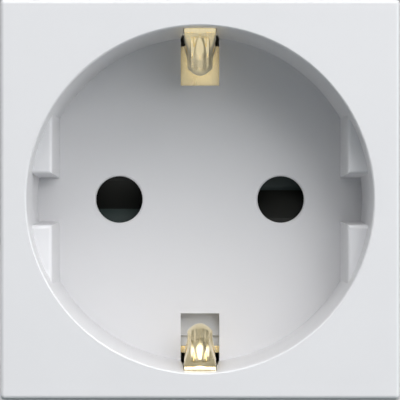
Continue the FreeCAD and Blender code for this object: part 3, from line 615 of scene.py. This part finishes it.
def pressedRise(u, y, turned):
    # how far the press tool raised the tongue at distance u from its middle, y deep in the recess
    fade = 1 - smoothShare(y, strap["fadeFrom"], strap["fadeTo"])
    crowned = smoothShare(y, strap["crownFrom"], strap["crownFull"])
    raised = strap["pressRise"] * smoothShare(y, strap["pressFrom"], strap["pressFull"])
    started = softEdge(y, strap["pressFrom"], strap["pressSoft"])
    u = abs(u)
    crease = strap["legHalf"] - (strap["legHalf"] - strap["barOuter"]) * min(
        max((y - strap["creaseFrom"]) / (strap["creaseTo"] - strap["creaseFrom"]), 0), 1)
    inBar = 1 - softEdge(u, strap["barOuter"], strap["barSoft"])
    height = raised * inBar
    valley = 1 - softEdge(u, strap["barInner"], strap["valleySoft"])
    valleyDepth = strap["valleyDepth"] * started
    height -= valleyDepth * valley
    beadGrown = smoothShare(y, strap["beadFrom"], strap["beadFull"])
    beadHalf = strap["beadTip"] + (strap["beadHalf"] - strap["beadTip"]) * beadGrown
    share = min(u / beadHalf, 1)
    beadForm = strap["beadRound"] * (1 - share ** 2) + (1 - strap["beadRound"]) * (1 - share ** 8)
    height += (strap["beadRise"] * beadGrown + valleyDepth) * beadForm
    height -= strap["flankSlope"] * max(0, u - crease)
    crown = strap["crownRise"] - strap["crownDrop"] * (u / strap["noseHalf"]) ** 2
    dimple = strap["dimpleDepth"] * (1 - smoothShare(u, 0, strap["dimpleHalf"])) * turned
    return (height + (crown - height) * crowned) * fade + dimple


def unpressed(u):
    return 0.0


def sheetLoop(place, direction, half, rise, across):
    # one cross section of the sheet: along its inner face, then back along its outer face
    normal = Vector((-direction.y, direction.x))
    edge = strap["edge"]
    thick = strap["thickness"] / 2
    flat = half - edge
    ways = [-flat + 2 * flat * k / across for k in range(across + 1)]
    side = rise(half)
    outline = [(u, rise(u) + thick) for u in ways] + [(half, side + thick - edge), (half, side - thick + edge)]
    outline += [(u, rise(u) - thick) for u in reversed(ways)]
    outline += [(-half, side - thick + edge), (-half, side + thick - edge)]
    return [Vector((u, place.x + normal.x * h, place.y + normal.y * h)) * mm for u, h in outline]


def skinLoops(shape, loops):
    # joins closed cross sections of equal count, with a cap at each end
    rings = [[shape.verts.new(point) for point in loop] for loop in loops]
    count = len(rings[0])
    for near, far in zip(rings, rings[1:]):
        for k in range(count):
            m = (k + 1) % count
            shape.faces.new((near[k], near[m], far[m], far[k]))
    across = count // 2 - 3
    for ring in (rings[0], rings[-1]):
        # the cap runs across the sheet from one face to the other, with a rounded edge at each side
        for k in range(across):
            shape.faces.new((ring[k], ring[k + 1], ring[count - 4 - k], ring[count - 3 - k]))
        shape.faces.new(ring[across:across + 4])
        shape.faces.new((ring[count - 3], ring[count - 2], ring[count - 1], ring[0]))


def halfWidth(place, onTongue):
    if not onTongue:
        return strap["legHalf"] if place.y > strap["shoulderZ"] else strap["footHalf"]
    share = smoothShare(place.y, strap["narrowFrom"], strap["wideFrom"])
    return strap["noseHalf"] + (strap["legHalf"] - strap["noseHalf"]) * share


def makeEarthStrap():
    front = strap["foldFront"]
    corners = [
        strap["tail"], strap["nose"], (front, strap["legZ"] - strap["foldGap"]), (front, strap["legZ"]),
        (strap["footY"], strap["legZ"]), (strap["footY"], strap["jogZ"]), (strap["runY"], strap["jogZ"]),
        (strap["runY"], 0),
    ]
    radii = [strap["noseRadius"], strap["foldRadius"], strap["foldRadius"], strap["footRadius"],
             strap["jogRadius"], strap["jogRadius"]]
    loops = []
    folded = False
    widthBefore = None
    for place, direction in bentPath(corners, radii, 3):
        folded = folded or direction.y > strap["foldedFrom"]
        half = halfWidth(place, not folded)
        # the dimple begins where the leaf does and ends where the fold faces the front
        turned = 1 - smoothShare(place.x, front, strap["dimpleTo"])
        turned *= 1 - smoothShare(direction.y, *strap["dimpleTurn"])
        rise = unpressed if folded else (lambda u, y=place.x, t=turned: pressedRise(u, y, t))
        if widthBefore and half > widthBefore + strap["shoulder"]:
            # the step where the leg widens into the foot
            before = place - direction * strap["shoulderGap"]
            loops.append(sheetLoop(before, direction, widthBefore, rise, strap["across"]))
        widthBefore = half
        loops.append(sheetLoop(place, direction, half, rise, strap["across"]))
    mirrored = [[Vector((p.x, p.y, -p.z)) for p in loop] for loop in loops[-2::-1]]
    tabPath = bentPath([(strap["runY"], strap["tabTop"]), (strap["runY"], strap["tabZ"]),
                        (strap["tabEnd"], strap["tabZ"])], [strap["tabRadius"]], 0)
    tabLoops = [sheetLoop(place, direction, strap["tabHalf"], unpressed, strap["plainAcross"])
                for place, direction in tabPath]
    shape = bmesh.new()
    skinLoops(shape, loops + mirrored)
    skinLoops(shape, tabLoops)
    bmesh.ops.recalc_face_normals(shape, faces=shape.faces)
    mesh = bpy.data.meshes.new("earthStrap")
    shape.to_mesh(mesh)
    shape.free()
    return mesh


finishPiece("earthStrap", smoothed(makeEarthStrap(), sharpAngles["strap"]), brass, "brass", ["earth_strap"])
print("earth strap is ready")

# Screws and spring, each made by a node tree


def newTree(name, inputs):
    tree = bpy.data.node_groups.new(name, "GeometryNodeTree")
    tree.is_modifier = True
    tree.interface.new_socket("Geometry", in_out="INPUT", socket_type="NodeSocketGeometry")
    for label, kind, value in inputs:
        socket = tree.interface.new_socket(label, in_out="INPUT", socket_type=kind)
        if value is not None:
            socket.default_value = value
    tree.interface.new_socket("Geometry", in_out="OUTPUT", socket_type="NodeSocketGeometry")
    given = tree.nodes.new("NodeGroupInput")
    result = tree.nodes.new("NodeGroupOutput")
    return tree, given.outputs, result.inputs


def feed(tree, socket, value):
    if isinstance(value, bpy.types.NodeSocket):
        tree.links.new(value, socket)
    else:
        socket.default_value = value


def step(tree, kind, inputs, settings=None):
    # adds one node, with each named input either linked or set
    node = tree.nodes.new(kind)
    for label, value in (settings or {}).items():
        setattr(node, label, value)
    for label, value in inputs.items():
        feed(tree, node.inputs[label], value)
    return node


def vectorOf(tree, x=0.0, y=0.0, z=0.0):
    return step(tree, "ShaderNodeCombineXYZ", {"X": x, "Y": y, "Z": z}).outputs[0]


def moved(tree, geometry, translation):
    return step(tree, "GeometryNodeTransform", {"Geometry": geometry, "Translation": translation}).outputs[0]


def joined(tree, pieces):
    node = tree.nodes.new("GeometryNodeJoinGeometry")
    for piece in pieces:
        tree.links.new(piece, node.inputs[0])
    return node.outputs[0]


def chamferedRod(tree, radius, length, chamfer, sides):
    # a cylinder whose far end is drawn in by the chamfer
    straight = mathNode(tree, "SUBTRACT", length, chamfer)
    rod = step(tree, "GeometryNodeMeshCylinder", {"Vertices": sides, "Radius": radius, "Depth": straight})
    lifted = moved(tree, rod.outputs["Mesh"], vectorOf(tree, z=mathNode(tree, "MULTIPLY", straight, 0.5)))
    grown = step(tree, "GeometryNodeExtrudeMesh", {
        "Mesh": lifted, "Selection": rod.outputs["Top"], "Offset Scale": chamfer})
    share = mathNode(tree, "DIVIDE", mathNode(tree, "SUBTRACT", radius, chamfer), radius)
    return step(tree, "GeometryNodeScaleElements", {
        "Geometry": grown.outputs["Mesh"], "Selection": grown.outputs["Top"], "Scale": share}).outputs[0]


def endTree(tree, geometry, material, result):
    real = step(tree, "GeometryNodeRealizeInstances", {"Geometry": geometry})
    dressed = step(tree, "GeometryNodeSetMaterial", {"Geometry": real.outputs[0], "Material": material})
    tree.links.new(dressed.outputs[0], result[0])


screwDetail = {"shaftSides": 32, "headSides": 48, "stepsPerTurn": 28, "threadSides": 4, "turnsLeftOff": 1.6}
springDetail = {"stepsPerTurn": 40, "wireSides": 12}


def makeScrewTree():
    # a screw on each point: a shaft with a wound thread, and a chamfered head with a slot or a cross
    tree, given, result = newTree("drivenScrew", [
        ("Shaft Radius", "NodeSocketFloat", 0.0012), ("Shaft Length", "NodeSocketFloat", 0.005),
        ("Thread Pitch", "NodeSocketFloat", 0.0006), ("Thread Depth", "NodeSocketFloat", 0.0002),
        ("Head Radius", "NodeSocketFloat", 0.002), ("Head Height", "NodeSocketFloat", 0.0013),
        ("Chamfer", "NodeSocketFloat", 0.0003), ("Slot Width", "NodeSocketFloat", 0.0006),
        ("Slot Reach", "NodeSocketFloat", 0.002), ("Cross Reach", "NodeSocketFloat", 0.002),
        ("Slot Depth", "NodeSocketFloat", 0.0007), ("Axis", "NodeSocketRotation", (0, 0, 0)),
        ("Turn Limit", "NodeSocketFloat", 3.0), ("Turn Seed", "NodeSocketInt", 1),
        ("Material", "NodeSocketMaterial", None),
    ])
    core = mathNode(tree, "SUBTRACT", given["Shaft Radius"], given["Thread Depth"])
    shaft = chamferedRod(tree, core, given["Shaft Length"], given["Chamfer"], screwDetail["shaftSides"])
    turns = mathNode(tree, "DIVIDE", given["Shaft Length"], given["Thread Pitch"])
    turns = mathNode(tree, "SUBTRACT", turns, screwDetail["turnsLeftOff"])
    helix = step(tree, "GeometryNodeCurveSpiral", {
        "Resolution": screwDetail["stepsPerTurn"], "Rotations": turns, "Start Radius": core, "End Radius": core,
        "Height": mathNode(tree, "MULTIPLY", turns, given["Thread Pitch"])})
    profile = step(tree, "GeometryNodeCurvePrimitiveCircle", {
        "Resolution": screwDetail["threadSides"], "Radius": given["Thread Depth"]})
    thread = step(tree, "GeometryNodeCurveToMesh", {
        "Curve": helix.outputs[0], "Profile Curve": profile.outputs[0], "Fill Caps": True})
    wound = moved(tree, thread.outputs[0], vectorOf(tree, z=given["Thread Pitch"]))
    threaded = joined(tree, [shaft, wound])
    # shaft and thread grow away from the head, so they are turned over
    under = step(tree, "GeometryNodeTransform", {"Geometry": threaded, "Rotation": (math.pi, 0, 0)})

    head = chamferedRod(tree, given["Head Radius"], given["Head Height"], given["Chamfer"], screwDetail["headSides"])
    cutHeight = mathNode(tree, "MULTIPLY", given["Slot Depth"], 2.0)
    slotSize = vectorOf(tree, given["Slot Reach"], given["Slot Width"], cutHeight)
    crossSize = vectorOf(tree, given["Slot Width"], given["Cross Reach"], cutHeight)
    cutPlace = vectorOf(tree, z=given["Head Height"])
    driven = step(tree, "GeometryNodeMeshBoolean", {"Mesh 1": head}, {"operation": "DIFFERENCE", "solver": "EXACT"})
    for size in (slotSize, crossSize):
        cutter = step(tree, "GeometryNodeMeshCube", {"Size": size})
        tree.links.new(moved(tree, cutter.outputs["Mesh"], cutPlace), driven.inputs["Mesh 2"])

    spin = step(tree, "FunctionNodeRandomValue", {"Seed": given["Turn Seed"]}, {"data_type": "FLOAT"})
    spin.inputs[2].default_value = 0.0
    tree.links.new(given["Turn Limit"], spin.inputs[3])
    placed = step(tree, "GeometryNodeInstanceOnPoints", {
        "Points": given["Geometry"], "Instance": joined(tree, [under.outputs[0], driven.outputs["Mesh"]]),
        "Rotation": given["Axis"]})
    turned = step(tree, "GeometryNodeRotateInstances", {
        "Instances": placed.outputs[0], "Rotation": vectorOf(tree, z=spin.outputs[1]), "Local Space": True})
    endTree(tree, turned.outputs[0], given["Material"], result)
    return tree


def makeSpringTree():
    # wound wire with a straight leg at each end, both pointing the same way
    tree, given, result = newTree("woundSpring", [
        ("Turns", "NodeSocketFloat", 2.5), ("Coil Radius", "NodeSocketFloat", 0.0023),
        ("Pitch", "NodeSocketFloat", 0.0004), ("Wire Radius", "NodeSocketFloat", 0.0002),
        ("Leg Length", "NodeSocketFloat", 0.0046), ("Turn", "NodeSocketRotation", (0, 0, 0)),
        ("Material", "NodeSocketMaterial", None),
    ])
    rise = mathNode(tree, "MULTIPLY", given["Turns"], given["Pitch"])
    coil = step(tree, "GeometryNodeCurveSpiral", {
        "Resolution": springDetail["stepsPerTurn"], "Rotations": given["Turns"], "Start Radius": given["Coil Radius"],
        "End Radius": given["Coil Radius"], "Height": rise})
    legEnd = mathNode(tree, "MULTIPLY", given["Leg Length"], -1.0)
    farSide = mathNode(tree, "MULTIPLY", given["Coil Radius"], -1.0)
    near = step(tree, "GeometryNodeCurvePrimitiveLine", {
        "Start": vectorOf(tree, given["Coil Radius"]), "End": vectorOf(tree, given["Coil Radius"], legEnd)})
    far = step(tree, "GeometryNodeCurvePrimitiveLine", {
        "Start": vectorOf(tree, farSide, 0.0, rise), "End": vectorOf(tree, farSide, legEnd, rise)})
    wires = joined(tree, [coil.outputs[0], near.outputs[0], far.outputs[0]])
    profile = step(tree, "GeometryNodeCurvePrimitiveCircle", {
        "Resolution": springDetail["wireSides"], "Radius": given["Wire Radius"]})
    wire = step(tree, "GeometryNodeCurveToMesh", {
        "Curve": wires, "Profile Curve": profile.outputs[0], "Fill Caps": True})
    placed = step(tree, "GeometryNodeInstanceOnPoints", {
        "Points": given["Geometry"], "Instance": wire.outputs[0], "Rotation": given["Turn"]})
    endTree(tree, placed.outputs[0], given["Material"], result)
    return tree


def grownMesh(name, places, tree, values):
    # runs the tree on bare points and keeps the plain mesh
    holder = link(bpy.data.objects.new(name, meshFrom(name, [Vector(place) * mm for place in places], [])))
    grow = holder.modifiers.new("grow", "NODES")
    grow.node_group = tree
    for item in tree.interface.items_tree:
        if item.in_out == "INPUT" and item.name in values:
            grow[item.identifier] = values[item.name]
    mesh = bpy.data.meshes.new_from_object(holder.evaluated_get(bpy.context.evaluated_depsgraph_get()))
    holder.modifiers.remove(grow)
    bpy.data.objects.remove(holder)
    return mesh


screwTree = makeScrewTree()
springTree = makeSpringTree()
headBehind = (math.radians(-90), 0.0, 0.0)
headBelow = (math.radians(180), 0.0, 0.0)
terminalScrews = {
    "name": "terminalScrews", "node": "terminal_screws",
    "places": [(-9.5, 33.0, -18.8), (0, 33.0, -18.8), (9.5, 33.0, -18.8)],
    "values": {"Shaft Radius": 1.46 * mm, "Shaft Length": 3.3 * mm, "Thread Pitch": 0.5 * mm,
               "Thread Depth": 0.17 * mm, "Head Radius": 2.2 * mm, "Head Height": 1.6 * mm, "Chamfer": 0.25 * mm,
               "Slot Width": 0.6 * mm, "Slot Reach": 4.8 * mm, "Cross Reach": 0.3 * mm, "Slot Depth": 0.8 * mm,
               "Axis": headBelow, "Turn Seed": 4},
}
carrierScrews = {
    "name": "carrierScrews", "node": "carrier_screws",
    "places": [(9.6, 25.5, 9.6), (-9.6, 25.5, -9.6)],
    "values": {"Shaft Radius": 0.98 * mm, "Shaft Length": 5.0 * mm, "Thread Pitch": 0.7 * mm,
               "Thread Depth": 0.16 * mm, "Head Radius": 2.0 * mm, "Head Height": 1.3 * mm, "Chamfer": 0.25 * mm,
               "Slot Width": 0.6 * mm, "Slot Reach": 2.4 * mm, "Cross Reach": 2.4 * mm, "Slot Depth": 0.65 * mm,
               "Axis": headBehind, "Turn Seed": 7},
}
housingScrews = {
    "name": "housingScrews", "node": "housing_screws",
    "places": [(17.2, 14.0, 17.2), (-17.2, 14.0, -17.2)],
    "values": {"Shaft Radius": 1.23 * mm, "Shaft Length": 10.6 * mm, "Thread Pitch": 0.8 * mm,
               "Thread Depth": 0.2 * mm, "Head Radius": 2.4 * mm, "Head Height": 2.0 * mm, "Chamfer": 0.35 * mm,
               "Slot Width": 0.65 * mm, "Slot Reach": 2.9 * mm, "Cross Reach": 2.9 * mm, "Slot Depth": 1.0 * mm,
               "Axis": headBehind, "Turn Seed": 2},
}
for screws in (terminalScrews, carrierScrews, housingScrews):
    values = {**screws["values"], "Material": platedSteel}
    mesh = smoothed(grownMesh(screws["name"], screws["places"], screwTree, values), sharpAngles["screws"])
    levelNormals(mesh)
    finishPiece(screws["name"], mesh, platedSteel, "plated_steel", [screws["node"]])

shutterSpring = {
    "place": (0, 23.1, 0),
    "values": {"Turns": 2.5, "Coil Radius": 2.3 * mm, "Pitch": 0.42 * mm, "Wire Radius": 0.18 * mm,
               "Leg Length": 4.6 * mm, "Turn": (math.radians(-90), math.radians(-90), 0.0)},
}
values = {**shutterSpring["values"], "Material": springSteel}
mesh = smoothed(grownMesh("shutterSpring", [shutterSpring["place"]], springTree, values), sharpAngles["spring"])
finishPiece("shutterSpring", mesh, springSteel, "spring_steel", ["shutter_spring"])
print("screws and spring are ready")
